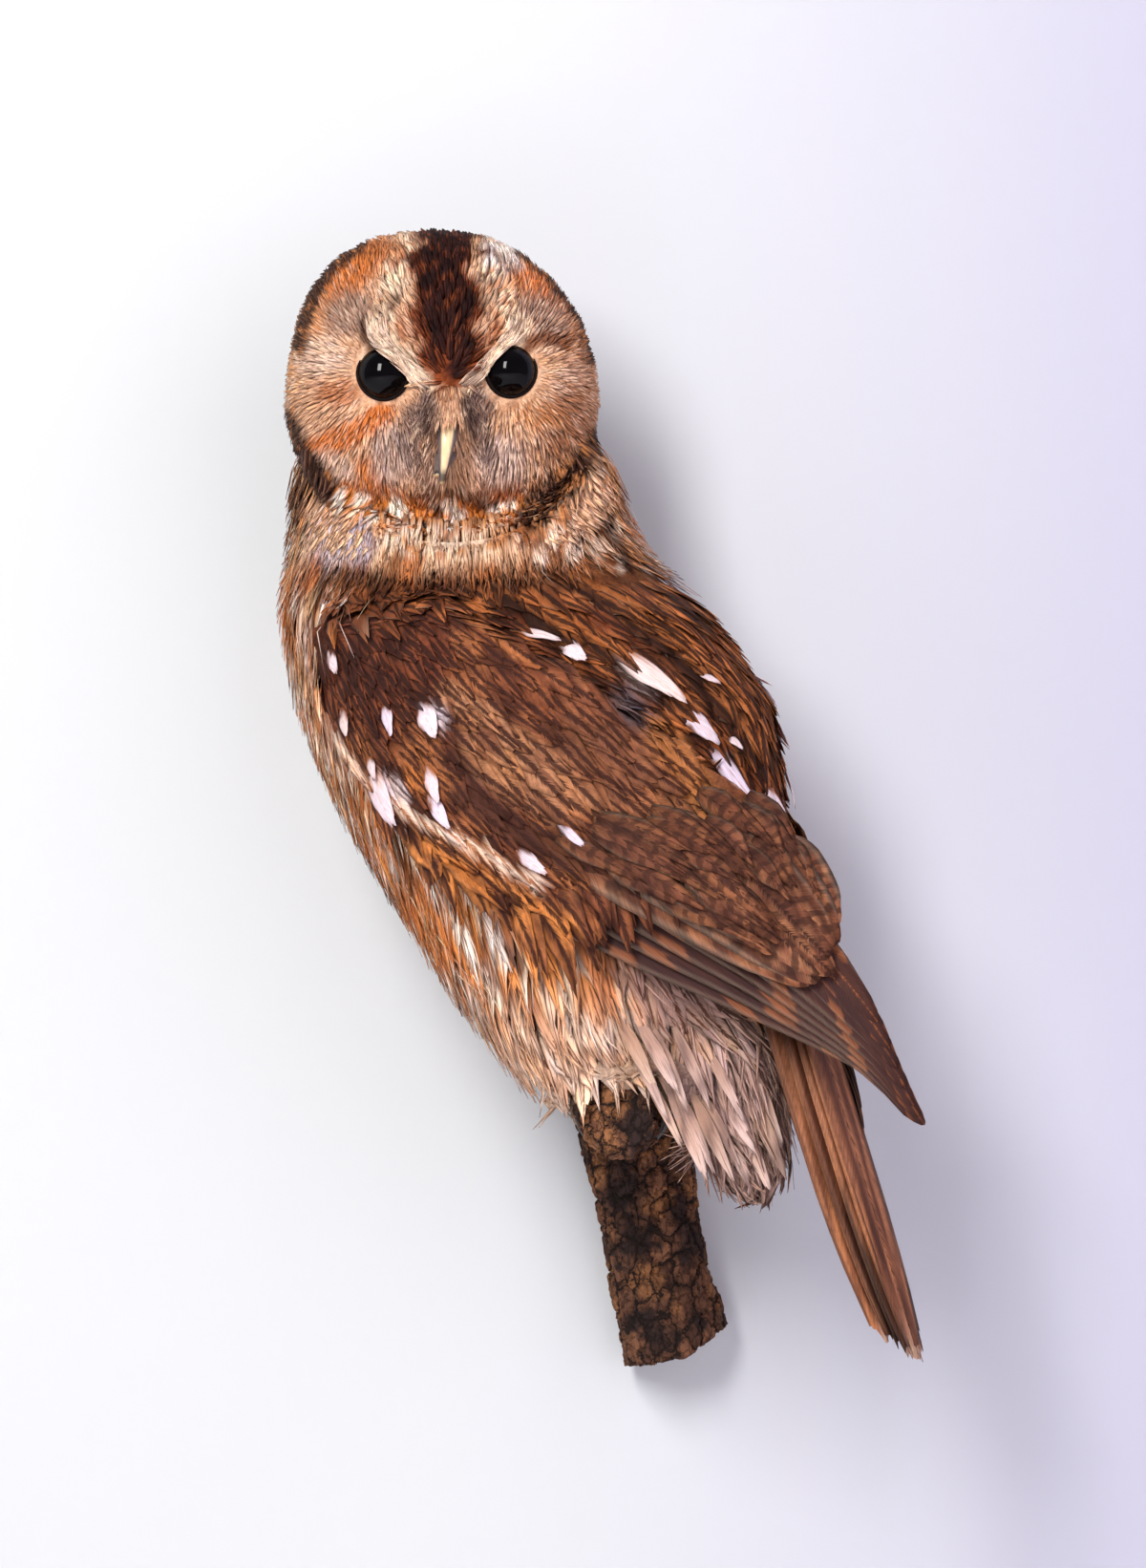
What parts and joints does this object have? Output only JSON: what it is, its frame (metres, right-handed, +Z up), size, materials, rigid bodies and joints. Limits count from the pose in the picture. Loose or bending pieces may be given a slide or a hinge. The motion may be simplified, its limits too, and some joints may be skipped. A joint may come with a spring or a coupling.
{
  "type": "mounted tawny owl",
  "caption": "Life-size mounted tawny owl, perched upright with folded wings and its head turned over one shoulder, on a short crooked branch that hangs flat against a wall.",
  "frame": {"origin": "a point on the branch's planed back, in the middle of its width, 54 mm above its lower end", "axes": "+Z up; +Y out of the branch's planed back, into the wall it hangs on; +X to the right of someone facing the wall. The face looks along -Y."},
  "size_m": [0.217, 0.173, 0.3896],
  "materials": {
    "plumage_head": "soft dense feathers",
    "plumage_neck": "soft dense feathers",
    "plumage_trunk": "soft barred and streaked feathers",
    "plumage_vent": "loose pale down",
    "plumage_wing": "mottled coverts and barred flight feathers",
    "plumage_tail": "stiff plain brown feathers",
    "plumage_leg": "short pale feathers",
    "eye_glass": "gloss",
    "horn": "satin horn",
    "claw": "satin horn",
    "bark": "dry cracked bark"
  },
  "bodies": {
    "root": {"head": "plumage_head", "eye_left": "eye_glass", "eye_right": "eye_glass", "bill_upper": "horn", "bill_lower": "horn", "neck": "plumage_neck", "trunk": "plumage_trunk", "vent": "plumage_vent", "wing_left_coverts": "plumage_wing", "wing_left_secondaries": "plumage_wing", "wing_left_primaries": "plumage_wing", "wing_right_coverts": "plumage_wing", "wing_right_secondaries": "plumage_wing", "wing_right_primaries": "plumage_wing", "tail": "plumage_tail", "leg_left": "plumage_leg", "leg_right": "plumage_leg", "foot_left": "plumage_leg", "foot_right": "plumage_leg", "claw_left_1": "claw", "claw_left_2": "claw", "claw_left_3": "claw", "claw_left_4": "claw", "claw_right_1": "claw", "claw_right_2": "claw", "claw_right_3": "claw", "claw_right_4": "claw", "branch": "bark"}
  },
  "joints": []
}
